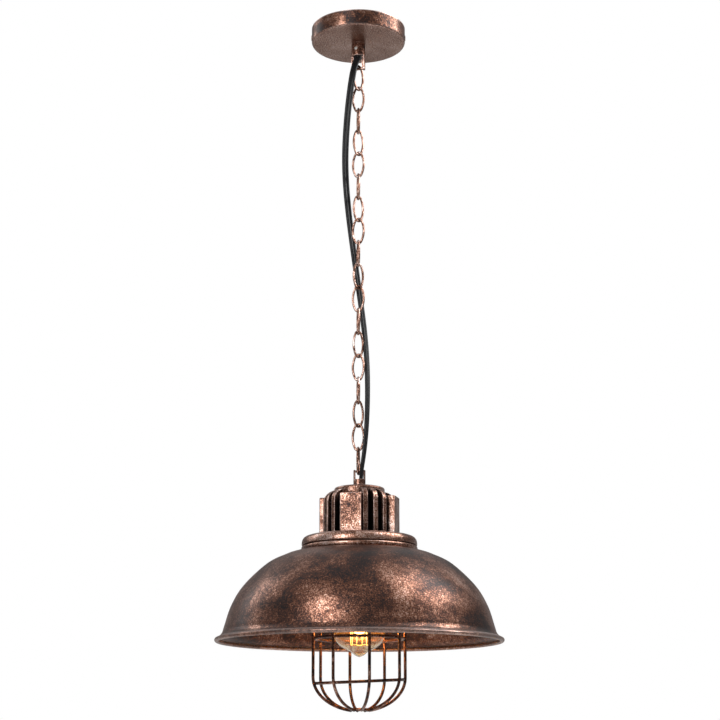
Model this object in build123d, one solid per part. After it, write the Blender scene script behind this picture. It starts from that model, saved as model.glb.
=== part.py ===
"""Chain-hung pendant ceiling light: ceiling canopy, eighteen-link chain, flat cord, finned cap,
domed shade, wire guard and filament bulb.

Millimetres, +Z up. The origin is on the ceiling plane at the centre of the ceiling bracket,
so the whole light hangs below z = 0. The front of the light faces -Y.
"""
from build123d import *
import math
import os

# Ceiling end
CANOPY_RADIUS = 62.5
CANOPY_HEIGHT = 21.0
SHEET = 1.2  # canopy and shade sheet thickness
BRACKET_LENGTH = 116.0
BRACKET_WIDTH = 18.0
BRACKET_THICKNESS = 2.0
SLOT_SPACING = 80.0
SLOT_LENGTH = 12.0
SLOT_WIDTH = 5.0
COLLAR_RADIUS = 9.25
COLLAR_BOTTOM = -39.5
CANOPY_SCREW_Z = -12.0
CANOPY_SCREW_HEAD = 0.8  # how far the side screws' heads stand out
EARTH_X = 20.0
TERMINAL_BORE_Z = -5.9
TERMINAL_NEAR_X = -11.0
TERMINAL_FAR_X = -29.0
TERMINAL_BOTTOM_Z = -10.4
TERMINAL_HALF_WIDTH = 7.5
TERMINAL_SCREW_XS = (-25.0, -15.0)
TERMINAL_Y = 3.8
BUSH_RADIUS = 6.0
BUSH_TOP_Z = -33.0
NIPPLE_TOP_Z = -8.0
LOCK_WASHER_RADIUS = 9.0
LOCK_WASHER_THICKNESS = 1.2
SET_SCREW_Z = -30.0
HANGER_TURN = -20.0  # degrees the hanger loop is screwed round from the X axis
HANGER_BAR_RADIUS = 2.0
HANGER_BAR_Z = -56.0
HANGER_LEG = 3.3
LOOP_DEPTH = 6.0  # front to back, of the hanger loop and the lamp's eye

# Chain
LINK_COUNT = 18
LINK_WIRE_RADIUS = 1.5
LINK_HALF_WIDTH = 7.6  # wire centre line
LINK_END_RADIUS = 4.6
LINK_PITCH = 30.6
LINK_GAP = 0.3  # clearance between two wires that hang on each other
LINK_FIRST_TURN = 38.0
LINK_TURN_STEP = -60.0  # each link lies this much further round the chain
LINK_LAST_TURN = 82.0

# Cord: a flat twin cord, drawn as a round tube of its thickness
CORD_RADIUS = 2.4
CORD_ROUTE = [
    (-1.0, -2.8, -40.0),
    (-2.8, -5.0, -47.0),
    (-5.2, -8.2, -56.0),
    (-7.9, -10.2, -70.0),
    (-11.3, -9.8, -95.0),
    (-15.0, -7.2, -130.0),
    (-17.6, -2.5, -175.0),
    (-16.8, 3.0, -215.0),
    (-12.3, 8.4, -262.0),
    (-5.4, 12.6, -315.0),
    (1.6, 12.2, -366.0),
    (8.0, 9.4, -415.0),
    (11.6, 4.2, -462.0),
    (12.0, -1.8, -510.0),
    (10.4, -6.2, -551.0),
    (7.2, -8.0, -583.0),
    (4.3, -6.3, -601.0),
    (3.4, -1.6, -613.5),
]
CORD_STRAIGHT_SHARE = 0.45  # share of the shorter run that each corner's arc takes
CORD_JOINT_GAP = 3.5  # cord left out each side of a swing joint
CORD_SPLIT_Z = -325.0
CORD_TOP_Z = -43.0  # the cord's ends, clear of the bush and of the lamp's eye
CORD_BOTTOM_Z = -608.5
CORE_SPREAD = 1.7  # each core's distance from the middle where it leaves the cord

# Lamp
LAMP_X = 1.5  # the cord fills the right of the eye, so the lamp hangs this far right
EYE_HALF_WIDTH = 7.7
EYE_LEG = 2.8
EYE_BAR_RADIUS = 1.5
EYE_BASE_Z = -613.5
CAP_TOP_Z = -620.3  # under the eye; the cap's top slopes down to its edge
CAP_EDGE_Z = -624.0
CAP_SHELL = 2.5  # thickness of the cap's top
CAP_DRUM_RADIUS = 32.0
CAP_DRUM_EDGE = 4.5
CAP_WALL = 3.0
FLANGE_TOP_Z = -686.5
FLANGE_BOTTOM_Z = -698.5
FLANGE_RADIUS = 72.8
FLANGE_EDGE = 10.0  # the flange's upper edge is rounded off this far
FLANGE_HOLLOW_RADIUS = 58.0
FIN_RADIUS = 46.0
FIN_THICKNESS = 6.0
FIN_SHOULDER_Z = -629.0
FIN_DROP = 15.0  # height of the curve at a fin's outer corner
FIN_TURNS = (22.5, 39.5, 57.0)  # degrees from each wide block to the three fins after it
BLOCK_COUNT = 4
BLOCK_FACE = 49.0  # distance from the axis to a wide block's flat face
BLOCK_WIDTH = 27.6
BLOCK_TOP_Z = -637.0
BLOCK_EDGE = 1.2
BLOCK_TURN = -13.0  # degrees from the front to the first wide block
RING_RADIUS = 73.2
RING_TOP_Z = -699.0
RING_EDGE = 3.2
SHADE_TOP_Z = -706.0
SHADE_HOLE_RADIUS = 24.0
SHADE_PLATE_RADIUS = 74.0
SHADE_SHOULDER = (117.2, -723.6)  # (radius, height) points down the dome
SHADE_FLANK_TOP = (144.7, -750.1)
SHADE_FLANK_BOTTOM = (168.9, -802.2)
SHADE_FLARE_END = (177.6, -814.6)
SHADE_RADIUS = 180.0
SHADE_RIM_Z = -819.3
BEAD_RADIUS = 2.7

CAP_SCREW_CIRCLE = 64.5
TAB_CIRCLE = 46.0

# Guard
GUARD_WIRE_RADIUS = 1.9
GUARD_RADIUS = 58.4  # leg centre line
GUARD_LEG_COUNT = 8
GUARD_FIRST_LEG = 12.0  # degrees from the front
GUARD_TOP_Z = -710.2
GUARD_STRAIGHT_END_Z = -861.6
GUARD_DOME_DEPTH = 41.2
GUARD_BOTTOM_RADIUS = 12.0
GUARD_MIDDLE_HOOP_Z = -814.0
GUARD_LOWER_HOOP_Z = -866.6
GUARD_LOWER_HOOP_TILT = 2.4  # degrees down on the left; this hoop is welded a little crooked
GUARD_LOWER_HOOP_DIP = 2.6  # degrees down at the front

# Bulb and lampholder
HOLDER_TOP_Z = -670.0
HOLDER_BOTTOM_Z = -724.0
HOLDER_RADIUS = 19.5
SHELL_INNER_RADIUS = 13.6
HOLDER_SCREW_X = 10.0
HOLDER_FLOOR_Z = -686.0  # floor of the wiring chamber
HOLDER_CORE_Z = -693.0  # top of the socket, under the core
BULB_TOP_Z = -696.2
BULB_INSULATOR_TOP_Z = -697.2
BULB_INSULATOR_BOTTOM_Z = -701.0
BULB_CAP_RADIUS = 13.2
BULB_CAP_TOP_Z = -698.4
BULB_CAP_BOTTOM_Z = -722.0
BULB_NECK_RADIUS = 11.6
BULB_NECK_Z = -719.0
BULB_TIP_Z = -836.4
BULB_RADIUS = 32.0
GLASS_WALL = 0.8
STEM_RADIUS = 2.2
STEM_TOP_Z = -720.0
STEM_BOTTOM_Z = -800.0
FILAMENT_WIRES = 10
FILAMENT_THREAD_RADIUS = 0.4
FILAMENT_RADIUS = 11.0
FILAMENT_TOP_Z = -770.0
FILAMENT_BOTTOM_Z = -822.0

# Fasteners and tubes
NIPPLE_RADIUS = 5.0
NIPPLE_BORE = 3.9
THREAD_CLEARANCE = 0.05
NUT_WIDTH = 14.0
LEAD_RADIUS = 1.3
SCREW_RADIUS = 1.95
SCREW_HOLE_RADIUS = 2.1
SCREW_HEAD_RADIUS = 3.6

LINK_HALF_LENGTH = (LINK_PITCH + 2 * LINK_WIRE_RADIUS + LINK_GAP) / 2
FIRST_LINK_Z = (HANGER_BAR_Z + HANGER_BAR_RADIUS + LINK_GAP + LINK_WIRE_RADIUS
                - LINK_HALF_LENGTH)
LAST_LINK_Z = FIRST_LINK_Z - LINK_PITCH * (LINK_COUNT - 1)
EYE_BAR_Z = LAST_LINK_Z - LINK_HALF_LENGTH + LINK_WIRE_RADIUS + LINK_GAP + EYE_BAR_RADIUS
CAP_SCREW_PLACES = PolarLocations(CAP_SCREW_CIRCLE, 4, start_angle=20)
TAB_PLACES = PolarLocations(TAB_CIRCLE, 3, start_angle=65)


# ---------------------------------------------------------------- helpers

def tube(outer, inner, top, bottom):
    """A straight tube or, with no inner radius, a rod, standing between two heights."""
    ring = Circle(outer)
    if inner:
        ring -= Circle(inner)
    return extrude(Pos(0, 0, bottom) * ring, top - bottom)


def block(x_low, x_high, y_low, y_high, z_low, z_high):
    """A box between two corners."""
    size = Box(x_high - x_low, y_high - y_low, z_high - z_low)
    return Pos((x_low + x_high) / 2, (y_low + y_high) / 2, (z_low + z_high) / 2) * size


def hexagon(width, bore, top, bottom):
    """A hexagonal nut of a given width across flats."""
    outline = RegularPolygon(width / 2, 6, major_radius=False) - Circle(bore)
    return extrude(Pos(0, 0, bottom) * outline, top - bottom)


def spun(outline):
    """Revolve an outline given as (radius, height) about the Z axis."""
    return revolve(Plane.XZ * outline, Axis.Z)


def front(angle):
    """Turn a shape that points to the front (-Y) by an angle towards the right (+X)."""
    return Rot(0, 0, angle)


def rod(start, end, radius):
    """A round rod between two points."""
    path = Line(start, end)
    return sweep(Plane(path @ 0, z_dir=path % 0) * Circle(radius), path)


def hoop(ring_radius, wire_radius, height):
    return Pos(0, 0, height) * Torus(ring_radius, wire_radius)


def wire(points, bend_radius, radius):
    """A wire bent through several points."""
    path = FilletPolyline(*points, radius=bend_radius)
    return sweep(Plane(path @ 0, z_dir=path % 0) * Circle(radius), path)


def lamp(shape):
    """Move a piece modelled on the Z axis to the lamp's own axis."""
    return Pos(LAMP_X, 0, 0) * shape


def solids_of(shapes):
    """Several separate solids as one piece."""
    return Compound([solid for shape in shapes for solid in shape.solids()])


# ---------------------------------------------------------------- ceiling end

def ceiling_bracket():
    """Slotted strip on the ceiling, with bent ears for the canopy's side screws."""
    half = BRACKET_LENGTH / 2
    width = BRACKET_WIDTH / 2
    ear_depth = 17.0
    strip = block(-half, half, -width, width, -BRACKET_THICKNESS, 0)
    for side in (-1, 1):
        inner = half - BRACKET_THICKNESS
        strip += block(*sorted((side * inner, side * half)), -width, width, -ear_depth, 0)
        slot = SlotOverall(SLOT_LENGTH, SLOT_WIDTH)
        strip -= Pos(side * SLOT_SPACING / 2, 0, -BRACKET_THICKNESS) * extrude(slot, BRACKET_THICKNESS)
        hole = Rot(0, 90, 0) * Cylinder(SCREW_RADIUS + THREAD_CLEARANCE, 12)
        strip -= Pos(side * half, 0, CANOPY_SCREW_Z) * hole
    strip -= Pos(EARTH_X, 0, -BRACKET_THICKNESS / 2) * Cylinder(SCREW_HOLE_RADIUS, 4)
    return strip


def canopy():
    """Round cup, open to the ceiling, with a rounded lower edge."""
    edge = 2.5
    cup = tube(CANOPY_RADIUS, None, 0, -CANOPY_HEIGHT)
    cup = fillet(cup.edges().group_by(Axis.Z)[0], edge)
    hollow = tube(CANOPY_RADIUS - SHEET, None, 0, SHEET - CANOPY_HEIGHT)
    hollow = fillet(hollow.edges().group_by(Axis.Z)[0], edge - SHEET)
    cup -= hollow
    cup -= tube(NIPPLE_RADIUS + THREAD_CLEARANCE, None, 0, -CANOPY_HEIGHT)
    screw_line = Pos(0, 0, CANOPY_SCREW_Z) * Rot(0, 90, 0)
    return cup - screw_line * Cylinder(SCREW_HOLE_RADIUS, 2 * CANOPY_RADIUS + 4)


def canopy_side_screws():
    """Two low-headed screws through the canopy wall into the bracket's ears."""
    shank = tube(SCREW_RADIUS, None, CANOPY_RADIUS, BRACKET_LENGTH / 2 - 3)
    head = tube(SCREW_HEAD_RADIUS, None, CANOPY_RADIUS + CANOPY_SCREW_HEAD, CANOPY_RADIUS)
    slot = block(-0.5, 0.5, -4, 4, CANOPY_RADIUS + CANOPY_SCREW_HEAD / 2, CANOPY_RADIUS + 2)
    screw = fillet(head.edges().group_by(Axis.Z)[-1], 0.5) + shank - slot
    return solids_of(Pos(0, 0, CANOPY_SCREW_Z) * Rot(0, side * 90, 0) * screw for side in (-1, 1))


def loop_frame(half_width, leg, depth, bar_radius, bar_z, base_z):
    """Two legs and a round bar across their ends, standing along X."""
    end_z = bar_z + math.copysign(bar_radius, bar_z - base_z)
    frame = rod((-half_width + leg / 2, 0, bar_z), (half_width - leg / 2, 0, bar_z), bar_radius)
    for side in (-1, 1):
        x_range = sorted((side * half_width, side * (half_width - leg)))
        z_range = sorted((base_z, end_z))
        upright = block(*x_range, -depth / 2, depth / 2, *z_range)
        frame += fillet(upright.edges().filter_by(Axis.Y), 0.9)
    return frame


def hanger_loop():
    """Round collar screwed on the nipple, with a loop for the first link under it."""
    collar = tube(COLLAR_RADIUS, None, -CANOPY_HEIGHT, COLLAR_BOTTOM)
    collar = fillet(collar.edges().group_by(Axis.Z)[0], 0.8)
    collar -= tube(NIPPLE_RADIUS + THREAD_CLEARANCE, None, -CANOPY_HEIGHT, BUSH_TOP_Z - 1)
    collar -= tube(BUSH_RADIUS + THREAD_CLEARANCE, None, BUSH_TOP_Z, COLLAR_BOTTOM)
    frame = loop_frame(COLLAR_RADIUS, HANGER_LEG, LOOP_DEPTH, HANGER_BAR_RADIUS, HANGER_BAR_Z,
                       COLLAR_BOTTOM + 2)
    frame &= tube(COLLAR_RADIUS, None, -CANOPY_HEIGHT, HANGER_BAR_Z - 5)
    frame -= tube(BUSH_RADIUS + THREAD_CLEARANCE, None, BUSH_TOP_Z, COLLAR_BOTTOM)
    hole = tube(SCREW_RADIUS + THREAD_CLEARANCE, None, COLLAR_RADIUS + 1, NIPPLE_RADIUS + 0.4)
    collar -= Pos(0, 0, SET_SCREW_Z) * Rot(90, 0, 0) * hole
    return front(HANGER_TURN) * (collar + frame)


def hanger_set_screw():
    """Short screw with a hexagon socket, in the front of the collar."""
    screw = tube(SCREW_RADIUS, None, COLLAR_RADIUS + 0.3, NIPPLE_RADIUS + 0.5)
    socket = extrude(Pos(0, 0, COLLAR_RADIUS - 1.4) * RegularPolygon(1.1, 6), 3)
    return front(HANGER_TURN) * (Pos(0, 0, SET_SCREW_Z) * Rot(90, 0, 0) * (screw - socket))


def hanger_nipple():
    return tube(NIPPLE_RADIUS, NIPPLE_BORE, NIPPLE_TOP_Z, BUSH_TOP_Z)


def hanger_lock_washer():
    bottom = SHEET - CANOPY_HEIGHT
    washer = tube(LOCK_WASHER_RADIUS, NIPPLE_RADIUS + 0.1, bottom + LOCK_WASHER_THICKNESS, bottom)
    notch = tube(0.8, None, 0, -CANOPY_HEIGHT)
    return washer - [place * notch for place in PolarLocations(LOCK_WASHER_RADIUS, 12)]


def hanger_nut():
    bottom = SHEET - CANOPY_HEIGHT + LOCK_WASHER_THICKNESS
    return hexagon(NUT_WIDTH, NIPPLE_RADIUS + THREAD_CLEARANCE, bottom + 4, bottom)


def cord_grip_bush():
    """Black bush in the foot of the collar; the cord leaves through its off-centre hole."""
    x, y, z = CORD_ROUTE[0]
    bush = tube(BUSH_RADIUS, None, BUSH_TOP_Z - 0.2, z)
    return bush - Pos(x, y, 0) * tube(CORD_RADIUS + 0.1, None, BUSH_TOP_Z + 1, z - 1)


def terminal_block():
    """Two-way screw terminal block under the bracket."""
    body = block(TERMINAL_FAR_X, TERMINAL_NEAR_X, -TERMINAL_HALF_WIDTH, TERMINAL_HALF_WIDTH,
                 TERMINAL_BOTTOM_Z, -BRACKET_THICKNESS)
    middle = (TERMINAL_FAR_X + TERMINAL_NEAR_X) / 2
    for side in (-1, 1):
        body -= Pos(middle, side * TERMINAL_Y, TERMINAL_BORE_Z) * Rot(0, 90, 0) * Cylinder(1.6, 30)
        for x in TERMINAL_SCREW_XS:
            body -= Pos(x, side * TERMINAL_Y, 0) * tube(1.5, None, TERMINAL_BORE_Z, -12)
    return body


def terminal_block_screws():
    top = TERMINAL_BOTTOM_Z + 2.8
    low = TERMINAL_BOTTOM_Z + 0.4
    screw = tube(1.4, None, top, low) - block(-2, 2, -0.3, 0.3, TERMINAL_BOTTOM_Z, low + 0.4)
    places = [(x, side * TERMINAL_Y) for x in TERMINAL_SCREW_XS for side in (-1, 1)]
    return solids_of(Pos(x, y, 0) * screw for x, y in places)


def earth_screw():
    """Earth screw in the bracket, with its cupped washer."""
    washer = tube(4.6, None, -BRACKET_THICKNESS, -BRACKET_THICKNESS - 0.8)
    head = tube(SCREW_HEAD_RADIUS, None, -BRACKET_THICKNESS - 0.8, -BRACKET_THICKNESS - 3)
    shank = tube(SCREW_RADIUS, None, -0.2, -BRACKET_THICKNESS)
    slot = block(-4, 4, -0.5, 0.5, -6, -BRACKET_THICKNESS - 2)
    return Pos(EARTH_X, 0, 0) * (washer + head + shank - slot)


def canopy_leads():
    """Both cores from the bush, up the nipple, to the terminal block."""
    leads = []
    for side in (-1, 1):
        spread = side * CORE_SPREAD
        points = [
            (0, spread, BUSH_TOP_Z),
            (0, spread, TERMINAL_BORE_Z),
            (-6, side * 2.8, TERMINAL_BORE_Z),
            (TERMINAL_NEAR_X - 3, side * TERMINAL_Y, TERMINAL_BORE_Z),
        ]
        leads.append(wire(points, 2.4, LEAD_RADIUS))
    return solids_of(leads)


# ---------------------------------------------------------------- chain

def link_outline():
    """Oval of four tangent arcs: two small ends and two long sides."""
    reach = LINK_HALF_LENGTH - LINK_END_RADIUS
    half = LINK_HALF_WIDTH
    end = LINK_END_RADIUS
    side = (half ** 2 - end ** 2 + reach ** 2) / (2 * (half - end))
    swing = math.atan2(reach, side - half)
    x = end * math.cos(swing)
    z = reach + end * math.sin(swing)
    top = ThreePointArc((x, z), (0, LINK_HALF_LENGTH), (-x, z))
    left = ThreePointArc((-x, z), (-half, 0), (-x, -z))
    bottom = ThreePointArc((-x, -z), (0, -LINK_HALF_LENGTH), (x, -z))
    right = ThreePointArc((x, -z), (half, 0), (x, z))
    return Wire([top, left, bottom, right])


def chain_link(number):
    """One oval link, counted from the ceiling."""
    turn = LINK_FIRST_TURN + LINK_TURN_STEP * (number - 1)
    if number == LINK_COUNT:
        turn = LINK_LAST_TURN
    path = Plane.XZ * link_outline()
    section = Plane(path @ 0, z_dir=path % 0) * Circle(LINK_WIRE_RADIUS)
    oval = sweep(section, path)
    return Pos(0, 0, FIRST_LINK_Z - LINK_PITCH * (number - 1)) * front(turn) * oval


# ---------------------------------------------------------------- cord

def bend_radii(points, share):
    """The largest arc that each corner's two runs allow."""
    radii = []
    for before, corner, after in zip(points, points[1:], points[2:]):
        run_in = Vector(*corner) - Vector(*before)
        run_out = Vector(*after) - Vector(*corner)
        half_turn = math.radians(run_in.get_angle(run_out) / 2)
        radii.append(share * min(run_in.length, run_out.length) / math.tan(half_turn))
    return radii


def whole_cord():
    radii = bend_radii(CORD_ROUTE, CORD_STRAIGHT_SHARE)
    return wire(CORD_ROUTE, radii, CORD_RADIUS)


def cord_lengths():
    """The cord cut into the four lengths that hang on the four swinging bodies."""
    upper_pivot = FIRST_LINK_Z - 2 * LINK_PITCH + LINK_HALF_LENGTH
    lower_pivot = LAST_LINK_Z + LINK_PITCH + LINK_HALF_LENGTH
    spans = {
        "cord_top": (CORD_TOP_Z, upper_pivot + CORD_JOINT_GAP),
        "cord_upper": (upper_pivot - CORD_JOINT_GAP, CORD_SPLIT_Z),
        "cord_lower": (CORD_SPLIT_Z, lower_pivot + CORD_JOINT_GAP),
        "cord_bottom": (lower_pivot - CORD_JOINT_GAP, CORD_BOTTOM_Z),
    }
    cord = whole_cord()
    reach = 40
    return {name: cord & block(-reach, reach, -reach, reach, bottom, top)
            for name, (top, bottom) in spans.items()}


# ---------------------------------------------------------------- lamp top

def lamp_eye():
    """Small collar with a rectangular eye for the last link."""
    collar = tube(EYE_HALF_WIDTH, None, EYE_BASE_Z, CAP_TOP_Z)
    frame = loop_frame(EYE_HALF_WIDTH, EYE_LEG, LOOP_DEPTH, EYE_BAR_RADIUS, EYE_BAR_Z,
                       EYE_BASE_Z - 1)
    frame &= tube(EYE_HALF_WIDTH, None, EYE_BAR_Z + 5, CAP_TOP_Z)
    return collar + frame - tube(NIPPLE_RADIUS + THREAD_CLEARANCE, None, EYE_BASE_Z, CAP_TOP_Z)


def lamp_nipple():
    return tube(NIPPLE_RADIUS, NIPPLE_BORE, EYE_BASE_Z - 2.5, HOLDER_TOP_Z - 6)


def lamp_nut():
    top = CAP_EDGE_Z - CAP_SHELL
    return hexagon(NUT_WIDTH, NIPPLE_RADIUS + THREAD_CLEARANCE, top, top - 5)


def lamp_leads():
    """Both cores from the cord's end, down the nipple, to the lampholder's screws."""
    leads = []
    for side in (-1, 1):
        points = [
            (side * CORE_SPREAD, 0, EYE_BASE_Z - 0.7),
            (side * CORE_SPREAD, 0, HOLDER_TOP_Z - 9),
            (side * 6.2, 0, HOLDER_TOP_Z - 12),
        ]
        leads.append(wire(points, 2.0, LEAD_RADIUS))
    return solids_of(leads)


def fin_outline():
    """Side view of a thin fin: it springs from the cap's edge and turns down."""
    root = CAP_DRUM_RADIUS - 3
    spring = CAP_DRUM_RADIUS - 1
    corner_z = FIN_SHOULDER_Z - FIN_DROP
    edge = [
        Line((root, FLANGE_TOP_Z), (root, FIN_SHOULDER_Z)),
        Line((root, FIN_SHOULDER_Z), (spring, FIN_SHOULDER_Z)),
        EllipticalCenterArc((spring, corner_z), FIN_RADIUS - spring, FIN_DROP, arc_size=90),
        Line((FIN_RADIUS, corner_z), (FIN_RADIUS, FLANGE_TOP_Z)),
        Line((FIN_RADIUS, FLANGE_TOP_Z), (root, FLANGE_TOP_Z)),
    ]
    return make_face(Wire.combine(edge)[0])


def thin_fin():
    return Rot(0, 0, -90) * extrude(Plane.XZ * fin_outline(), FIN_THICKNESS / 2, both=True)


def wide_block():
    """One of the four square blocks between the thin fins."""
    body = block(-BLOCK_WIDTH / 2, BLOCK_WIDTH / 2, -BLOCK_FACE, -CAP_DRUM_RADIUS + 6,
                 FLANGE_TOP_Z, BLOCK_TOP_Z)
    corners = body.edges().filter_by(Axis.Z).group_by(Axis.Y)[0]
    body = fillet(corners, BLOCK_EDGE)
    top_edge = body.edges().group_by(Axis.Z)[-1].group_by(Axis.Y)[0]
    return fillet(top_edge, BLOCK_EDGE)


def fin_cap():
    """Cast cap: hollow drum with a sloping top, fins and blocks round it, and a flange under them."""
    hollow_top = FLANGE_TOP_Z - CAP_WALL
    shoulder = CAP_DRUM_RADIUS - CAP_DRUM_EDGE
    drum = tube(CAP_DRUM_RADIUS, None, CAP_EDGE_Z, FLANGE_BOTTOM_Z)
    drum = fillet(drum.edges().group_by(Axis.Z)[-1], CAP_DRUM_EDGE)
    slope = Polyline((0, CAP_EDGE_Z - 1), (shoulder, CAP_EDGE_Z - 1), (shoulder, CAP_EDGE_Z),
                     (EYE_HALF_WIDTH + 1, CAP_TOP_Z), (0, CAP_TOP_Z), close=True)
    flange = tube(FLANGE_RADIUS, None, FLANGE_TOP_Z, FLANGE_BOTTOM_Z)
    flange = fillet(flange.edges().group_by(Axis.Z)[-1], FLANGE_EDGE)
    flange = fillet(flange.edges().group_by(Axis.Z)[0], 1.5)
    cap = drum + spun(make_face(slope)) + flange
    for number in range(BLOCK_COUNT):
        turn = BLOCK_TURN + 360 / BLOCK_COUNT * number
        cap += front(turn) * wide_block()
        for fin_turn in FIN_TURNS:
            cap += front(turn + fin_turn) * thin_fin()
    cap -= tube(CAP_DRUM_RADIUS - CAP_WALL, None, CAP_EDGE_Z - CAP_SHELL, FLANGE_BOTTOM_Z)
    cap -= tube(FLANGE_HOLLOW_RADIUS, None, hollow_top, FLANGE_BOTTOM_Z)
    cap -= tube(NIPPLE_RADIUS + THREAD_CLEARANCE, None, CAP_TOP_Z + 1, CAP_EDGE_Z - CAP_SHELL - 1)
    hole = tube(SCREW_RADIUS + THREAD_CLEARANCE, None, hollow_top, FLANGE_BOTTOM_Z)
    return cap - [place * hole for place in CAP_SCREW_PLACES]


def neck_ring():
    """Rolled ring between the cap's flange and the shade."""
    ring = tube(RING_RADIUS, FLANGE_HOLLOW_RADIUS, RING_TOP_Z, SHADE_TOP_Z)
    outer = ring.edges().filter_by(GeomType.CIRCLE).group_by(SortBy.RADIUS)[-1]
    ring = fillet(outer, RING_EDGE)
    hole = tube(SCREW_HOLE_RADIUS, None, RING_TOP_Z + 1, SHADE_TOP_Z - 1)
    return ring - [place * hole for place in CAP_SCREW_PLACES]


def cap_screws():
    """Four screws up through the shade and ring into the cap."""
    head_top = SHADE_TOP_Z - SHEET
    head = tube(SCREW_HEAD_RADIUS, None, head_top, head_top - 2.4)
    head = fillet(head.edges().group_by(Axis.Z)[0], 1.0)
    screw = head + tube(SCREW_RADIUS, None, FLANGE_TOP_Z - 4, head_top)
    screw -= block(-4, 4, -0.5, 0.5, head_top - 3, head_top - 1.4)
    return solids_of(place * screw for place in CAP_SCREW_PLACES)


# ---------------------------------------------------------------- shade

def shade_outline():
    """Middle line of the sheet, from the top plate's hole to the rim."""
    plate_z = SHADE_TOP_Z - SHEET / 2
    plate = Line((SHADE_HOLE_RADIUS, plate_z), (SHADE_PLATE_RADIUS, plate_z))
    shoulder = ThreePointArc((SHADE_PLATE_RADIUS, plate_z), SHADE_SHOULDER, SHADE_FLANK_TOP)
    flank = TangentArc([SHADE_FLANK_TOP, SHADE_FLANK_BOTTOM], tangent=shoulder % 1)
    flare = TangentArc([SHADE_FLANK_BOTTOM, SHADE_FLARE_END], tangent=(0.12, -0.99))
    return Wire([plate, shoulder, flank, flare])


def shade():
    """Spun dome with a flat top plate and a rolled bead round the rim."""
    section = trace(shade_outline(), SHEET)
    section += Pos(SHADE_RADIUS - BEAD_RADIUS, SHADE_RIM_Z + BEAD_RADIUS) * Circle(BEAD_RADIUS)
    dome = spun(section)
    places = list(CAP_SCREW_PLACES) + list(TAB_PLACES)
    return dome - [place * Pos(0, 0, SHADE_TOP_Z) * Cylinder(SCREW_HOLE_RADIUS, 6) for place in places]


# ---------------------------------------------------------------- guard

def guard_leg():
    """One wire: straight down, then a quarter ellipse in to the bottom hoop."""
    sweep_angle = math.degrees(math.acos(GUARD_BOTTOM_RADIUS / GUARD_RADIUS))
    straight = Line((GUARD_RADIUS, GUARD_TOP_Z - 0.8), (GUARD_RADIUS, GUARD_STRAIGHT_END_Z))
    dome = EllipticalCenterArc((0, GUARD_STRAIGHT_END_Z), GUARD_RADIUS, GUARD_DOME_DEPTH,
                               start_angle=-sweep_angle, arc_size=sweep_angle)
    path = Plane.XZ * Wire.combine([straight, dome])[0]
    start = path @ 0 if (path @ 0).Z > (path @ 1).Z else path @ 1
    return sweep(Plane(start, z_dir=(0, 0, 1)) * Circle(GUARD_WIRE_RADIUS), path)


def guard_legs():
    leg = Rot(0, 0, -90) * guard_leg()
    step = 360 / GUARD_LEG_COUNT
    return solids_of(front(GUARD_FIRST_LEG + step * number) * leg for number in range(GUARD_LEG_COUNT))


def guard_hoops():
    """Top, middle, lower and bottom hoops, welded inside the legs."""
    inside = GUARD_RADIUS - 2 * GUARD_WIRE_RADIUS
    bottom_z = GUARD_STRAIGHT_END_Z - GUARD_DOME_DEPTH * math.sqrt(
        1 - (GUARD_BOTTOM_RADIUS / GUARD_RADIUS) ** 2)
    tilted = Pos(0, 0, GUARD_LOWER_HOOP_Z) * Rot(GUARD_LOWER_HOOP_DIP, -GUARD_LOWER_HOOP_TILT, 0)
    hoops = [
        hoop(inside, GUARD_WIRE_RADIUS, GUARD_TOP_Z),
        hoop(inside, GUARD_WIRE_RADIUS, GUARD_MIDDLE_HOOP_Z),
        tilted * Torus(inside - 0.4, GUARD_WIRE_RADIUS),
        hoop(GUARD_BOTTOM_RADIUS - 2, GUARD_WIRE_RADIUS, bottom_z + 1),
    ]
    return solids_of(hoops)


def guard_tabs():
    """Three small plates under the shade's top plate that hold the top hoop."""
    top = SHADE_TOP_Z - SHEET
    plate = block(-7, 12, -5, 5, top - 1.5, top)
    plate = fillet(plate.edges().filter_by(Axis.Z), 2.0)
    plate -= Pos(0, 0, top) * Cylinder(SCREW_HOLE_RADIUS, 6)
    return solids_of(place * plate for place in TAB_PLACES)


def guard_screws():
    top = SHADE_TOP_Z - SHEET - 1.5
    head = tube(3.4, None, top, top - 2.2)
    head = fillet(head.edges().group_by(Axis.Z)[0], 1.0)
    screw = head + tube(SCREW_RADIUS, None, SHADE_TOP_Z + 3, top)
    screw -= block(-4, 4, -0.5, 0.5, top - 3, top - 1.2)
    return solids_of(place * screw for place in TAB_PLACES)


# ---------------------------------------------------------------- lampholder and bulb

def lampholder_body():
    """Moulded holder: wiring chamber above, core in the middle, screw socket below."""
    body = tube(HOLDER_RADIUS, None, HOLDER_TOP_Z, HOLDER_BOTTOM_Z)
    body = fillet(body.edges().group_by(Axis.Z)[-1], 6)
    body -= tube(NIPPLE_RADIUS + THREAD_CLEARANCE, None, HOLDER_TOP_Z, HOLDER_TOP_Z - 5)
    body -= tube(15, None, HOLDER_TOP_Z - 4, HOLDER_FLOOR_Z)
    body -= tube(SHELL_INNER_RADIUS + 0.6, None, HOLDER_CORE_Z, HOLDER_BOTTOM_Z)
    for side in (-1, 1):
        body -= Pos(side * HOLDER_SCREW_X, 0, HOLDER_FLOOR_Z - 2) * Cylinder(1.55, 5)
    return body


def lampholder_terminal_screws():
    floor = HOLDER_FLOOR_Z
    screw = tube(1.5, None, floor, floor - 4) + tube(2.8, None, floor + 2.4, floor)
    screw -= block(-3, 3, -0.4, 0.4, floor + 1.6, floor + 4)
    return solids_of(Pos(side * HOLDER_SCREW_X, 0, 0) * screw for side in (-1, 1))


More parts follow.
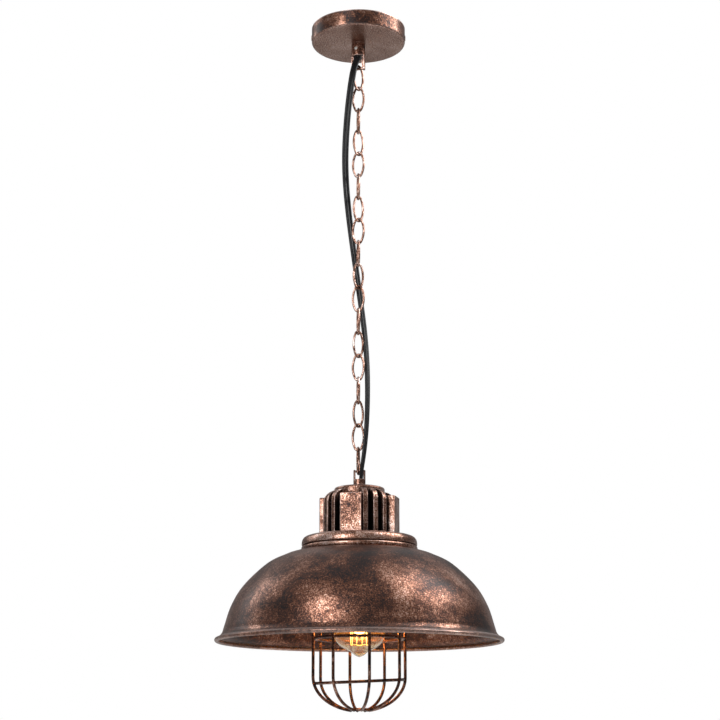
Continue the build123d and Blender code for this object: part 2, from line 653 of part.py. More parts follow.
def lampholder_shell():
    return tube(SHELL_INNER_RADIUS + 0.5, SHELL_INNER_RADIUS, HOLDER_CORE_Z - 1, HOLDER_BOTTOM_Z + 2)


def lampholder_contact():
    """Springy centre contact on the core."""
    top = HOLDER_CORE_Z
    return block(-4, 4, -2, 2, top - 2.8, top - 2.2) + block(-4, -3, -2, 2, top - 2.8, top)


def bulb_outline(inset):
    """Half outline of the glass: thin neck, wide belly, small rounded tip."""
    neck = BULB_NECK_RADIUS - inset
    belly = BULB_RADIUS - inset
    tip = BULB_TIP_Z + inset
    top = BULB_NECK_Z
    side = Spline([(neck, top), (neck + 1.6, -734), (belly - 6.5, -772), (belly, -803),
                   (belly - 4.6, -818), (belly - 15.5, -827)],
                  tangents=[(0, -1), (-1, -0.35)])
    point = Spline([(belly - 15.5, -827), (belly - 22, -830.4 + inset / 2), (0, tip)],
                   tangents=[(-1, -0.35), (-1, 0)])
    edges = [side, point, Line((0, tip), (0, top)), Line((0, top), (neck, top))]
    return make_face(Wire.combine(edges)[0])


def bulb_glass():
    return spun(bulb_outline(0)) - spun(bulb_outline(GLASS_WALL))


def bulb_cap():
    """Thin screw shell of the bulb, drawn plain, with the glass neck in it."""
    shell = tube(BULB_CAP_RADIUS, BULB_CAP_RADIUS - 0.5, BULB_CAP_TOP_Z, BULB_CAP_BOTTOM_Z)
    return shell + tube(BULB_CAP_RADIUS, BULB_NECK_RADIUS + THREAD_CLEARANCE, BULB_NECK_Z - 0.6,
                        BULB_CAP_BOTTOM_Z)


def bulb_insulator():
    top, bottom = BULB_INSULATOR_TOP_Z, BULB_INSULATOR_BOTTOM_Z
    outline = Polyline((0, bottom), (12.2, bottom), (12.2, top - 2), (5.6, top), (0, top), close=True)
    return spun(make_face(outline))


def bulb_contact():
    contact = tube(4.6, None, BULB_TOP_Z, BULB_INSULATOR_TOP_Z)
    return fillet(contact.edges().group_by(Axis.Z)[-1], 0.6)


def bulb_stem():
    """Glass foot and rod that carry the filament, with its wire hooks."""
    foot = Polyline((0, STEM_TOP_Z), (9, STEM_TOP_Z), (STEM_RADIUS + 1, STEM_TOP_Z - 22),
                    (STEM_RADIUS, STEM_TOP_Z - 26), (STEM_RADIUS, STEM_BOTTOM_Z), (0, STEM_BOTTOM_Z),
                    close=True)
    hooks = []
    for height in (FILAMENT_TOP_Z, STEM_BOTTOM_Z + 2):
        for number in range(FILAMENT_WIRES // 2):
            turn = Rot(0, 0, 720 / FILAMENT_WIRES * number)
            hooks.append(turn * rod((STEM_RADIUS + 0.15, 0, height), (FILAMENT_RADIUS - 0.6, 0, height), 0.25))
    return solids_of([spun(make_face(foot))] + hooks)


def bulb_filament():
    """Squirrel-cage filament: one thread going down and up round the stem."""
    points = []
    for number in range(FILAMENT_WIRES):
        angle = 2 * math.pi * number / FILAMENT_WIRES
        x = FILAMENT_RADIUS * math.cos(angle)
        y = FILAMENT_RADIUS * math.sin(angle)
        heights = [FILAMENT_TOP_Z, FILAMENT_BOTTOM_Z]
        if number % 2:
            heights.reverse()
        points += [(x, y, height) for height in heights]
    return wire(points, 1.2, FILAMENT_THREAD_RADIUS)


# ---------------------------------------------------------------- output

FIXED_PIECES = [
    ceiling_bracket, canopy, canopy_side_screws, hanger_loop, hanger_set_screw, hanger_nipple,
    hanger_lock_washer, hanger_nut, cord_grip_bush, terminal_block, terminal_block_screws,
    earth_screw, canopy_leads,
]
LAMP_PIECES = [
    lamp_eye, lamp_nipple, lamp_nut, lamp_leads, fin_cap, neck_ring, cap_screws, shade,
    guard_legs, guard_hoops, guard_tabs, guard_screws,
    lampholder_body, lampholder_terminal_screws, lampholder_shell, lampholder_contact,
    bulb_glass, bulb_cap, bulb_insulator, bulb_contact, bulb_stem, bulb_filament,
]


def all_pieces():
    pieces = {make.__name__: make() for make in FIXED_PIECES}
    for number in range(1, LINK_COUNT + 1):
        pieces[f"link_{number:02d}"] = chain_link(number)
    pieces.update(cord_lengths())
    for make in LAMP_PIECES:
        pieces[make.__name__] = lamp(make())
    return pieces


os.makedirs("parts", exist_ok=True)
for name, shape in all_pieces().items():
    export_step(shape, f"parts/{name}.step")
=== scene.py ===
"""Looks of the chain-hung pendant light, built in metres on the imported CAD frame.

The visible metal, the cord, the guard and the bulb are new pieces that stand for their CAD
nodes; fasteners and the parts inside keep their CAD shapes and get procedural materials.
"""
import bmesh
import bpy
import math
from mathutils import Matrix, Vector


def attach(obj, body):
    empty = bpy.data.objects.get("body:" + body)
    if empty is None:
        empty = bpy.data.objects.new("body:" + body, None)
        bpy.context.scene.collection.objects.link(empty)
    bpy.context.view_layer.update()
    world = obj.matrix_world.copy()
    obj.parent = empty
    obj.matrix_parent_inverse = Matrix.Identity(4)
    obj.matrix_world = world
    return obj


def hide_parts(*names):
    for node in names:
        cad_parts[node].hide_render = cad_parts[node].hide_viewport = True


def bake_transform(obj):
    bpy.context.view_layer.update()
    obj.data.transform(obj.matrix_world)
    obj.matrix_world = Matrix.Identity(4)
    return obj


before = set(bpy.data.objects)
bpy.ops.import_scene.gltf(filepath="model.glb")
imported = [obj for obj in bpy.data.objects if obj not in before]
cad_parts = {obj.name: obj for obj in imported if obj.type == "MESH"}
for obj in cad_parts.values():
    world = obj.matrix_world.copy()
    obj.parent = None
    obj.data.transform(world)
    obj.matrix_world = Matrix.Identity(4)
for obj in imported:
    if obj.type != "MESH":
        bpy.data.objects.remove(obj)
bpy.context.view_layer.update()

MM = 0.001
LAMP_X = 1.5 * MM

# Canopy and shade, in millimetres
SHEET = 1.2                    # thickness
CANOPY_RADIUS = 62.5
CANOPY_HEIGHT = 21.0
CANOPY_EDGE = 2.5
CANOPY_HOLE = 5.6              # radius
# (radius, height) points of the sheet's middle line, down the dome and round its flared rim
SHADE_LINE = [(24, -706.6), (73, -706.6), (84.4, -708.4), (95.3, -712.2), (117.2, -723.6),
              (144.7, -750.1), (159.6, -775.2), (168.3, -802.2)]
FLARE_LINE = [(168.3, -802.2), (169.9, -807.6), (172.9, -811.8), (177.6, -814.6)]
BEAD_CENTRE = (177.3, -816.6)
BEAD_RADIUS = 2.7

# Cap, in millimetres
CAP_TOP = -620.3               # at the lamp's eye, from where the top slopes down to its edge
CAP_EDGE = -624.0
CAP_BORE = 5.05
CAP_SEAT = 8.7                 # radius of the level part under the lamp's eye
CAP_SHELL = 2.5                # thickness of the top
CAP_WALL = 3.0
DRUM_RADIUS = 32.0
DRUM_EDGE = 3.2                # rounding
FLANGE_TOP = -686.5
FLANGE_BOTTOM = -698.5
FLANGE_RADIUS = 72.8
FLANGE_EDGE = 10.0             # rounding
FLANGE_HOLLOW = 58.0
FIN_SHOULDER = -629.0
FIN_REACH = 46.0
FIN_THICKNESS = 6.0
FIN_DROP = 15.0                # height of the curve at a fin's outer corner
FIN_EDGE = 0.8                 # rounding
FIN_TURNS = (22.5, 39.5, 57.0)  # degrees from each wide block to the three fins after it
BLOCK_COUNT = 4
BLOCK_FACE = 49.0
BLOCK_WIDTH = 27.6
BLOCK_TOP = -637.0
BLOCK_EDGE = 1.1               # rounding
BLOCK_TURN = -13.0
RING_RADIUS = 73.2
RING_TOP = -699.0
RING_BOTTOM = -706.0
RING_EDGE = 3.2                # rounding
CAST_OVERLAP = 1.0             # how deep fins and blocks reach into the flange

# Chain, in millimetres
LINK_COUNT = 18
LINK_WIRE = 1.5                # radius
LINK_HALF_WIDTH = 7.6          # to the wire's centre line
LINK_HALF_LENGTH = 16.95
LINK_END_RADIUS = 4.6
LINK_PITCH = 30.6
FIRST_LINK_Z = -69.15
LINK_FIRST_TURN = 38.0
LINK_TURN_STEP = -60.0
LINK_LAST_TURN = 82.0
LINK_BODIES = {"upper_links": (1, 2), "chain": (3, 16), "lower_links": (17, 18)}

# Guard, in millimetres
GUARD_WIRE = 1.9               # radius
GUARD_RADIUS = 58.4            # to the legs' centre line
GUARD_LEGS = 8
GUARD_FIRST_LEG = 12.0
GUARD_TOP = -711.0
GUARD_STRAIGHT_END = -861.6
GUARD_DOME_DEPTH = 41.2
GUARD_BOTTOM_RADIUS = 12.0
GUARD_HOOPS = [
    # radius, height, degrees down on the left, degrees down at the front
    (54.6, -710.2, 0.0, 0.0),
    (54.6, -814.0, 0.0, 0.0),
    (54.2, -866.6, 2.4, 2.6),
    (10.0, -900.9, 0.0, 0.0),
]
WELD_RADII = (2.1, 2.1, 2.2)

# Bulb, in millimetres; its line is the middle of the glass wall
BULB_LINE = [(11.6, -719), (13.2, -734), (18.4, -752), (25.5, -772), (31.0, -790), (32.0, -803),
             (30.0, -814), (24.5, -822), (16.5, -827), (10, -830.4), (5.4, -834.2), (0, -836.4)]
GLASS_WALL = 0.8
BULB_CAP_TOP = -698.4
BULB_CAP_BOTTOM = -722.0
BULB_THREAD_TOP = -701.5
BULB_THREAD_BOTTOM = -716.0
BULB_THREAD_PITCH = 3.63
BULB_THREAD_RADIUS = 12.75     # half way up the thread
BULB_THREAD_WAVE = 0.42        # how far its wall waves each way
# Painted glow on the bulb's glass: its strength, and the heights over which it fades out downwards
GLASS_PAINTED_GLOW = 0.09
GLASS_PAINTED_GLOW_HEIGHTS = (-828, -800)
WIRE_GLOW = (1.2, 8.0)
WIRE_GLOW_HEIGHTS = (-821, -812)

# Cord, in metres and degrees: part.py's route, whose points are listed here
CORD_ROUTE = [
    (-0.0010, -0.0028, -0.0400),
    (-0.0028, -0.0050, -0.0470),
    (-0.0052, -0.0082, -0.0560),
    (-0.0079, -0.0102, -0.0700),
    (-0.0113, -0.0098, -0.0950),
    (-0.0150, -0.0072, -0.1300),
    (-0.0176, -0.0025, -0.1750),
    (-0.0168, 0.0030, -0.2150),
    (-0.0123, 0.0084, -0.2620),
    (-0.0054, 0.0126, -0.3150),
    (0.0016, 0.0122, -0.3660),
    (0.0080, 0.0094, -0.4150),
    (0.0116, 0.0042, -0.4620),
    (0.0120, -0.0018, -0.5100),
    (0.0104, -0.0062, -0.5510),
    (0.0072, -0.0080, -0.5830),
    (0.0043, -0.0063, -0.6010),
    (0.0034, -0.0016, -0.6135),
]
CORD_WIDTH = 0.0088
CORD_THICKNESS = 0.0045
CORD_WEB = 0.0015              # half thickness of the web between the two cores
CORD_FIRST_TURN = -20.0        # direction of the flat cord's width at its top and at its end
CORD_LAST_TURN = 85.0
CORD_PIECES = [
    # name, top, bottom, bodies it bends between, where the bend starts and ends, its length
    ("cord_top", -0.040, -0.104, "ceiling", "upper_links", -0.042, -0.070, 0.066),
    ("cord_upper", -0.104, -0.325, "upper_links", "chain", -0.107, -0.121, 0.224),
    ("cord_lower", -0.325, -0.552, "chain", "lower_links", -0.534, -0.550, 0.229),
    ("cord_bottom", -0.552, -0.6135, "lower_links", "lamp", -0.598, -0.6125, 0.064),
]

# Stage, in metres
FLOOR_HALF_WIDTH = 9.0
FLOOR_HEIGHT = -1.55
LIGHT_TARGET = (0, 0, -0.76)
SOFTBOXES = [
    # name, place, width and height, watts
    ("key", (1.05, -0.1, 0.36), (0.9, 0.9), 27),
    ("left", (-1.5, 0.7, 0.25), (0.8, 1.0), 8),
    ("front_left", (-1.0, -1.75, 0.15), (0.9, 1.4), 38),
]
GLOW_PLACE = (LAMP_X, 0, -0.797)
GLOW_RADIUS = 0.012
GLOW_WATTS = 0.9
REFLECTIONS = [
    # height of the direction, from 0 straight down to 1 straight up, and its brightness
    (0.0, 0.12), (0.38, 0.20), (0.52, 0.38), (0.66, 0.18), (1.0, 0.05),
]
CAMERA_PLACE = (0.0022, -2.05, -0.960)
CAMERA_LIFT = 11.856           # degrees above level
CAMERA_LENS = 81.84
CAMERA_SHIFT = 0.0764

ROUND_STEPS = 6
SMOOTH_ANGLE = math.radians(38)


# ---------------------------------------------------------------- outlines

def rounded(corners, closed=True):
    """Points of an outline of (x, z, rounding radius) corners."""
    points = []
    for number, (x, z, radius) in enumerate(corners):
        corner = Vector((x, z))
        at_end = not closed and number in (0, len(corners) - 1)
        if at_end or not radius:
            points.append(corner)
            continue
        before = (Vector(corners[number - 1][:2]) - corner).normalized()
        after = (Vector(corners[(number + 1) % len(corners)][:2]) - corner).normalized()
        back = radius / math.tan(before.angle(after) / 2)
        start, end = corner + before * back, corner + after * back
        for step in range(ROUND_STEPS + 1):
            share = step / ROUND_STEPS
            first, second = start.lerp(corner, share), corner.lerp(end, share)
            points.append(first.lerp(second, share))
    return points


def smooth_line(knots, steps=8):
    """A smooth line through all the knots."""
    knots = [Vector(knot) for knot in knots]
    ends = [knots[0] * 2 - knots[1]] + knots + [knots[-1] * 2 - knots[-2]]
    points = []
    for before, start, end, after in zip(ends, ends[1:], ends[2:], ends[3:]):
        for step in range(steps):
            t = step / steps
            bend = (before * 2 - start * 5 + end * 4 - after) * t ** 2
            twist = (start * 3 - before - end * 3 + after) * t ** 3
            points.append((start * 2 + (end - before) * t + bend + twist) / 2)
    return points + [knots[-1]]


def sheet_outline(line, thickness):
    """Closed outline of a sheet of even thickness along its middle line."""
    sides = ([], [])
    for number, point in enumerate(line):
        ahead = line[min(number + 1, len(line) - 1)]
        behind = line[max(number - 1, 0)]
        along = (ahead - behind).normalized()
        normal = Vector((-along.y, along.x)) * thickness / 2
        sides[0].append(point + normal)
        sides[1].append(point - normal)
    return sides[0] + sides[1][::-1]


# ---------------------------------------------------------------- shapes: (points, faces)

def lathe(outline, segments, axis_x=LAMP_X):
    """Turn a closed outline of (radius, height) in millimetres about an upright axis."""
    points, faces = [], []
    size = len(outline)
    for turn in range(segments):
        angle = 2 * math.pi * turn / segments
        for radius, height in outline:
            points.append(Vector((radius * MM * math.cos(angle) + axis_x,
                                  radius * MM * math.sin(angle), height * MM)))
    for turn in range(segments):
        here, there = turn * size, (turn + 1) % segments * size
        for side in range(size):
            ahead = (side + 1) % size
            faces.append((here + side, there + side, there + ahead, here + ahead))
    return points, faces


def swept(line, section, closed=False, width=None):
    """Sweep a flat section along a line; width(number) may give the section's first direction."""
    points, faces = [], []
    count, size = len(line), len(section)
    side = None
    for number, point in enumerate(line):
        ahead = line[(number + 1) % count] if closed else line[min(number + 1, count - 1)]
        behind = line[number - 1] if closed else line[max(number - 1, 0)]
        along = (ahead - behind).normalized()
        if width:
            side = width(number)
        elif side is None:
            side = along.orthogonal()
        side = (side - along * side.dot(along)).normalized()
        other = along.cross(side)
        points += [point + side * x + other * y for x, y in section]
    for number in range(count if closed else count - 1):
        here, there = number * size, (number + 1) % count * size
        for corner in range(size):
            ahead = (corner + 1) % size
            faces.append((here + corner, here + ahead, there + ahead, there + corner))
    if not closed:
        faces.append(tuple(range(size))[::-1])
        faces.append(tuple(range((count - 1) * size, count * size)))
    return points, faces


def circle(radius, sides):
    angles = [2 * math.pi * n / sides for n in range(sides)]
    return [(radius * math.cos(angle), radius * math.sin(angle)) for angle in angles]


def slab(outline, thickness, edge):
    """An upright plate from an (x, z) outline in millimetres, centred on y = 0, with soft edges."""
    shape = bmesh.new()
    corners = [shape.verts.new((x * MM, -thickness * MM / 2, z * MM)) for x, z in outline]
    plate = shape.faces.new(corners)
    pushed = bmesh.ops.extrude_face_region(shape, geom=[plate])["geom"]
    back = [part for part in pushed if isinstance(part, bmesh.types.BMVert)]
    bmesh.ops.translate(shape, verts=back, vec=(0, thickness * MM, 0))
    sharp = [line for line in shape.edges if line.calc_face_angle(0) > SMOOTH_ANGLE]
    bmesh.ops.bevel(shape, geom=sharp, offset=edge * MM, segments=3, profile=0.5, affect="EDGES")
    shape.verts.index_update()
    result = ([point.co.copy() for point in shape.verts],
              [tuple(corner.index for corner in face.verts) for face in shape.faces])
    shape.free()
    return result


def weld(centre):
    """A small rounded lump of weld."""
    shape = bmesh.new()
    bmesh.ops.create_uvsphere(shape, u_segments=12, v_segments=6, radius=1)
    shape.verts.index_update()
    stretch = Matrix.Diagonal([radius * MM for radius in WELD_RADII])
    points = [Vector(centre) + stretch @ point.co for point in shape.verts]
    faces = [tuple(corner.index for corner in face.verts) for face in shape.faces]
    shape.free()
    return points, faces


def moved(shape, matrix):
    return [matrix @ point for point in shape[0]], shape[1]


def turned(shape, degrees, axis_x=LAMP_X):
    """Turn a shape about the lamp's axis; zero leaves what points to the front in front."""
    centre = Matrix.Translation((axis_x, 0, 0))
    return moved(shape, centre @ Matrix.Rotation(math.radians(degrees), 4, "Z"))


def together(shapes):
    points, faces = [], []
    for more_points, more_faces in shapes:
        start = len(points)
        points += more_points
        faces += [tuple(start + corner for corner in face) for face in more_faces]
    return points, faces


def piece(name, shape, body, material, nodes):
    """Make a named piece from a shape, on its body if it has one, standing for its CAD nodes."""
    points, faces = shape
    mesh = bpy.data.meshes.new(name)
    mesh.from_pydata(points, [], faces)
    work = bmesh.new()
    work.from_mesh(mesh)
    bmesh.ops.remove_doubles(work, verts=work.verts, dist=MM / 1000)
    bmesh.ops.recalc_face_normals(work, faces=work.faces)
    work.to_mesh(mesh)
    work.free()
    mesh.shade_smooth()
    mesh.set_sharp_from_angle(angle=SMOOTH_ANGLE)
    mesh.materials.append(material)
    obj = bpy.data.objects.new(name, mesh)
    bpy.context.scene.collection.objects.link(obj)
    if body:
        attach(obj, body)
    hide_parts(*nodes)
    return obj


# ---------------------------------------------------------------- materials

class Finish:
    """A material's nodes. Textures are laid in object coordinates, in metres."""

    def __init__(self, name, **constants):
        self.material = bpy.data.materials.new(name)
        self.material.use_nodes = True
        self.tree = self.material.node_tree
        self.surface = self.tree.nodes["Principled BSDF"]
        self.place = self.tree.nodes.new("ShaderNodeTexCoord").outputs["Object"]
        for socket, value in constants.items():
            self.surface.inputs[socket.replace("_", " ")].default_value = value

    def node(self, kind, inputs, **settings):
        node = self.tree.nodes.new(kind)
        for setting, value in settings.items():
            setattr(node, setting, value)
        for socket, value in inputs.items():
            if isinstance(value, bpy.types.NodeSocket):
                self.tree.links.new(value, node.inputs[socket])
            else:
                node.inputs[socket].default_value = value
        return node

    def noise(self, size, detail=4, roughness=0.6, distortion=0.0):
        """Noise whose blotches are about size metres across."""
        inputs = {"Vector": self.place, "Scale": 1 / size, "Detail": detail,
                  "Roughness": roughness, "Distortion": distortion}
        return self.node("ShaderNodeTexNoise", inputs).outputs["Fac"]

    def calculate(self, operation, first, second):
        return self.node("ShaderNodeMath", {0: first, 1: second}, operation=operation).outputs[0]

    def weighed(self, parts):
        """Sum of (share, value) parts."""
        total = None
        for share, value in parts:
            part = self.calculate("MULTIPLY", value, share)
            total = part if total is None else self.calculate("ADD", total, part)
        return total

    def ramp(self, value, stops):
        node = self.node("ShaderNodeValToRGB", {"Fac": value})
        elements = node.color_ramp.elements
        while len(elements) < len(stops):
            elements.new(1)
        for element, (position, colour) in zip(elements, stops):
            element.position = position
            element.color = (*colour, 1)
        return node.outputs["Color"]

    def grade(self, value, low, high, from_low=0.0, from_high=1.0):
        """Map a value from one range to another, held at the ends."""
        inputs = {"Value": value, "From Min": from_low, "From Max": from_high,
                  "To Min": low, "To Max": high}
        return self.node("ShaderNodeMapRange", inputs).outputs["Result"]

    def height(self):
        return self.node("ShaderNodeSeparateXYZ", {0: self.place}).outputs["Z"]

    def mix(self, share, first, second):
        """One colour, mixed with a share of a second, plain one."""
        inputs = {0: share, 6: first, 7: (*second, 1)}
        return self.node("ShaderNodeMix", inputs, data_type="RGBA").outputs[2]

    def edges(self, radius):
        """1 on edges and 0 on flat or gently curved surface."""
        soft = self.node("ShaderNodeBevel", {"Radius": radius}, samples=4).outputs["Normal"]
        true = self.tree.nodes.new("ShaderNodeNewGeometry").outputs["Normal"]
        same = self.node("ShaderNodeVectorMath", {0: soft, 1: true}, operation="DOT_PRODUCT")
        return self.grade(same.outputs["Value"], 1.0, 0.0, 0.90, 0.995)

    def recess_patina_and_shade(self, distance):
        """1 in deep gaps and 0 in the open."""
        open_share = self.node("ShaderNodeAmbientOcclusion", {"Distance": distance},
                               samples=4, only_local=True).outputs["AO"]
        return self.grade(open_share, 1.0, 0.0, 0.25, 0.75)

    def bump(self, relief, depth, strength):
        inputs = {"Height": relief, "Distance": depth, "Strength": strength}
        return self.node("ShaderNodeBump", inputs).outputs["Normal"]

    def set(self, **links):
        for socket, value in links.items():
            self.tree.links.new(value, self.surface.inputs[socket.replace("_", " ")])
        return self.material


BLACK = (0.009, 0.0070, 0.0075)
UMBER = (0.040, 0.0185, 0.0135)
BROWN = (0.115, 0.046, 0.027)
COPPER = (0.30, 0.165, 0.118)
ROSE = (0.60, 0.475, 0.435)
PATINA_TONES = [(0.43, BLACK), (0.49, UMBER), (0.54, BROWN), (0.60, COPPER), (0.69, ROSE)]
PATINA_OFFSET = -0.05          # moves every patina towards black
RIM_HIGHLIGHT = 0.03                # how far the rim is moved towards copper: a painted highlight on the flare and bead


def patina(name, shift=0.0, cloud=0.055, speckle=0.005, edge=1.4 * MM, gap=12 * MM, wear_and_highlight=0.85,
           swirl=0.6, calm=None, rim=None, start=(0, 0, 0)):
    """Aged copper: bright copper showing through brown and near-black patina, with fine grain.

    shift moves the whole finish towards copper, and start moves its blotches.
    cloud and speckle are the sizes of the large and small blotches, and swirl is how far the
    large ones are drawn out. edge is how wide the bright edges are, and worn how bright they
    are made: partly edge wear, partly a painted highlight. gap is how wide a gap is still made
    dark: black patina in the cast's recesses and the chain's joints, and painted shade deep inside
    the lampshade. Below the height calm the finish is even, and below the height rim it is a
    little nearer to copper, a painted highlight along the lit rim.
    """
    finish = Finish(name, Specular_IOR_Level=0.12)
    height = finish.height()
    finish.place = finish.node("ShaderNodeVectorMath", {0: finish.place, 1: start}).outputs[0]
    clouds = finish.noise(cloud, 4, 0.55, swirl)
    specks = finish.noise(speckle, 4, 0.75, 0.2)
    grain = finish.noise(1.5 * MM, 2, 0.8)
    tone = finish.weighed([(0.42, clouds), (0.22, specks), (0.46, grain)])
    tone = finish.calculate("ADD", tone, shift + PATINA_OFFSET)
    # Painted highlight: near the rim the finish is moved towards copper, where light falls on the
    # flare and bead.
    if rim is not None:
        rim_highlight = finish.grade(height, RIM_HIGHLIGHT, 0.0, rim - 2 * MM, rim)
        tone = finish.calculate("ADD", tone, rim_highlight)
    if calm is not None:
        below = finish.grade(height, 1.0, 0.0, calm, calm + 1.5 * MM)
        even = finish.calculate("ADD", finish.weighed([(0.7, grain), (0.15, clouds)]), 0.16)
        tone = finish.node("ShaderNodeMix", {0: below, 2: tone, 3: even}).outputs[0]
    # Edges are made paler and more metallic: partly edge wear, partly a painted highlight along them.
    uneven = finish.grade(specks, 0.5, 1.0, 0.35, 0.55)
    edge_wear_and_highlight = finish.calculate("MULTIPLY", finish.edges(edge), uneven)
    edge_wear_and_highlight = finish.calculate("MULTIPLY", edge_wear_and_highlight, wear_and_highlight)
    colour = finish.mix(edge_wear_and_highlight, finish.ramp(tone, PATINA_TONES), ROSE)
    # Deep gaps go towards black: black patina in the cast's recesses and the chain's joints, and
    # painted shade deep inside the lampshade.
    colour = finish.mix(finish.recess_patina_and_shade(gap), colour, BLACK)
    metal = finish.calculate("MAXIMUM", finish.grade(tone, 0.2, 1.0, 0.45, 0.58), edge_wear_and_highlight)
    roughness = finish.grade(tone, 0.34, 0.28, 0.42, 0.66)
    relief = finish.weighed([(0.6, grain), (0.5, specks), (0.25, finish.noise(0.7 * MM, 2))])
    return finish.set(Base_Color=colour, Metallic=metal, Roughness=roughness,
                      Normal=finish.bump(relief, 0.35 * MM, 0.55))


def plated(name, colour, dull, roughness=0.32):
    """Plated or bare small metal part: faint stains and fine turning marks."""
    finish = Finish(name, Metallic=1.0)
    stain = finish.noise(5 * MM, 4, 0.6)
    marks = finish.noise(0.5 * MM, 2)
    shade = finish.ramp(stain, [(0.35, dull), (0.62, colour)])
    return finish.set(Base_Color=shade,
                      Roughness=finish.grade(stain, roughness + 0.16, roughness),
                      Normal=finish.bump(marks, 0.05 * MM, 0.4))


def moulded(name, colour, pale, roughness=0.42, bump_size=0.9 * MM, shine=0.5):
    """Moulded plastic or cord sheath: slight mottling and a fine grain."""
    finish = Finish(name, Specular_IOR_Level=shine)
    cloud = finish.noise(14 * MM, 3)
    grain = finish.noise(bump_size, 2)
    return finish.set(Base_Color=finish.ramp(cloud, [(0.3, colour), (0.75, pale)]),
                      Roughness=finish.grade(grain, roughness - 0.06, roughness + 0.1),
                      Normal=finish.bump(grain, 0.06 * MM, 0.5))


def bulb_clear(name):
    """Clear, slightly amber glass with faint drawing marks, and a faint painted glow from the
    filament.
    """
    finish = Finish(name, Transmission_Weight=1.0, IOR=1.45, Roughness=0.0,
                    Emission_Color=(1.0, 0.38, 0.06, 1))
    cloud = finish.noise(22 * MM, 3)
    tint = finish.ramp(cloud, [(0.3, (0.98, 0.80, 0.52)), (0.75, (1.0, 0.91, 0.72))])
    # Painted glow: the glass itself gives off a faint warm light, fading out towards the bulb's
    # bottom.
    low, high = GLASS_PAINTED_GLOW_HEIGHTS
    lit = finish.grade(finish.height(), 0.0, GLASS_PAINTED_GLOW, low * MM, high * MM)
    return finish.set(Base_Color=tint, Normal=finish.bump(cloud, 0.5 * MM, 0.15),
                      Emission_Strength=lit)


def glowing(name):
    """Hot filament: yellower in places, and dimmer at its lower end."""
    finish = Finish(name, Base_Color=(1, 0.6, 0.2, 1), Roughness=0.6)
    heat = finish.noise(9 * MM, 3)
    colour = finish.ramp(heat, [(0.3, (1.0, 0.42, 0.08)), (0.6, (1.0, 0.68, 0.24))])
    low, high = WIRE_GLOW_HEIGHTS
    glow = finish.grade(finish.height(), *WIRE_GLOW, low * MM, high * MM)
    return finish.set(Emission_Color=colour, Emission_Strength=glow)


# On the shade, gap paints shade deep inside the dome, rim paints a highlight along the flare and
# bead, the 3 mm edge brightens the bead, and start moves the blotches down and left so that a bright
# copper patch, a painted highlight, sits where the key light's highlight falls.
SHADE_PATINA = patina("shade_patina", shift=0.004, edge=3 * MM, gap=120 * MM, rim=-814.5 * MM,
                      start=(9 * MM, 0, 25 * MM))
CANOPY_PATINA = patina("canopy_patina", shift=0.02, cloud=0.03, edge=2.4 * MM, swirl=0.1,
                       calm=-20.6 * MM)
CAST_PATINA = patina("cast_patina", shift=0.06, cloud=0.03, speckle=0.003, gap=26 * MM)
WIRE_PATINA = patina("wire_patina", shift=0.01, cloud=0.018, speckle=0.004, gap=2 * MM, wear_and_highlight=0.0)
CHAIN_PATINA = patina("chain_patina", shift=0.085, cloud=0.012, speckle=0.004, gap=3 * MM, wear_and_highlight=0.0)
LOOP_PATINA = patina("loop_patina", shift=0.05, cloud=0.012, speckle=0.004, gap=6 * MM)
ZINC = plated("zinc_plate", (0.62, 0.63, 0.62), (0.36, 0.36, 0.34))
BRASS = plated("brass_metal", (0.78, 0.58, 0.27), (0.42, 0.28, 0.10))
SOLDER = plated("solder_metal", (0.66, 0.66, 0.67), (0.36, 0.36, 0.37), 0.45)
BLACK_MOULDED = moulded("black_moulding", (0.012, 0.012, 0.013), (0.035, 0.033, 0.033))
PALE_MOULDED = moulded("pale_moulding", (0.70, 0.67, 0.58), (0.84, 0.81, 0.74))
LEAD_SHEATH = moulded("lead_sheath", (0.09, 0.045, 0.028), (0.16, 0.085, 0.05), 0.35)
CORD_SHEATH = moulded("cord_sheath", (0.004, 0.004, 0.0045), (0.010, 0.010, 0.011), 0.3,
                      bump_size=1.6 * MM, shine=0.15)
DARK_GLASS = moulded("dark_glass", (0.012, 0.012, 0.016), (0.03, 0.03, 0.04), 0.14)
CLEAR_GLASS = bulb_clear("bulb_clear")
HOT_WIRE = glowing("hot_wire")


# ---------------------------------------------------------------- cord

def cord_line():
    """Points of the smooth line of the whole cord."""
    curve = bpy.data.curves.new("cord_line", "CURVE")
    curve.dimensions = "3D"
    curve.resolution_u = 12
    spline = curve.splines.new("NURBS")
    spline.points.add(len(CORD_ROUTE) - 1)
    for point, place in zip(spline.points, CORD_ROUTE):
        point.co = (*place, 1)
    spline.order_u = 3
    spline.use_endpoint_u = True
    holder = bpy.data.objects.new("cord_line", curve)
    line = [vertex.co.copy() for vertex in bpy.data.meshes.new_from_object(holder).vertices]
    bpy.data.objects.remove(holder)
    return line


def cord_section():
    """Outline of the flat twin cord: two round cores and a thinner web between them."""
    radius = CORD_THICKNESS / 2
    centre = CORD_WIDTH / 2 - radius
    steps = 9
    quarter = []
    for step in range(steps + 1):
        x = CORD_WIDTH / 2 * math.cos(math.pi / 2 * step / steps)
        offset = min(abs(x - centre), radius)
        core = math.sqrt(radius ** 2 - offset ** 2)
        quarter.append((x, max(core, CORD_WEB if x < centre else 0)))
    top = quarter + [(-x, y) for x, y in quarter[-2::-1]]
    return top + [(x, -y) for x, y in top[-2:0:-1]]


def cord_width(number, total):
    """Direction of the flat cord's width: it turns slowly on its way down."""
    share = number / (total - 1)
    angle = math.radians(CORD_FIRST_TURN + (CORD_LAST_TURN - CORD_FIRST_TURN) * share)
    return Vector((math.cos(angle), math.sin(angle), 0))


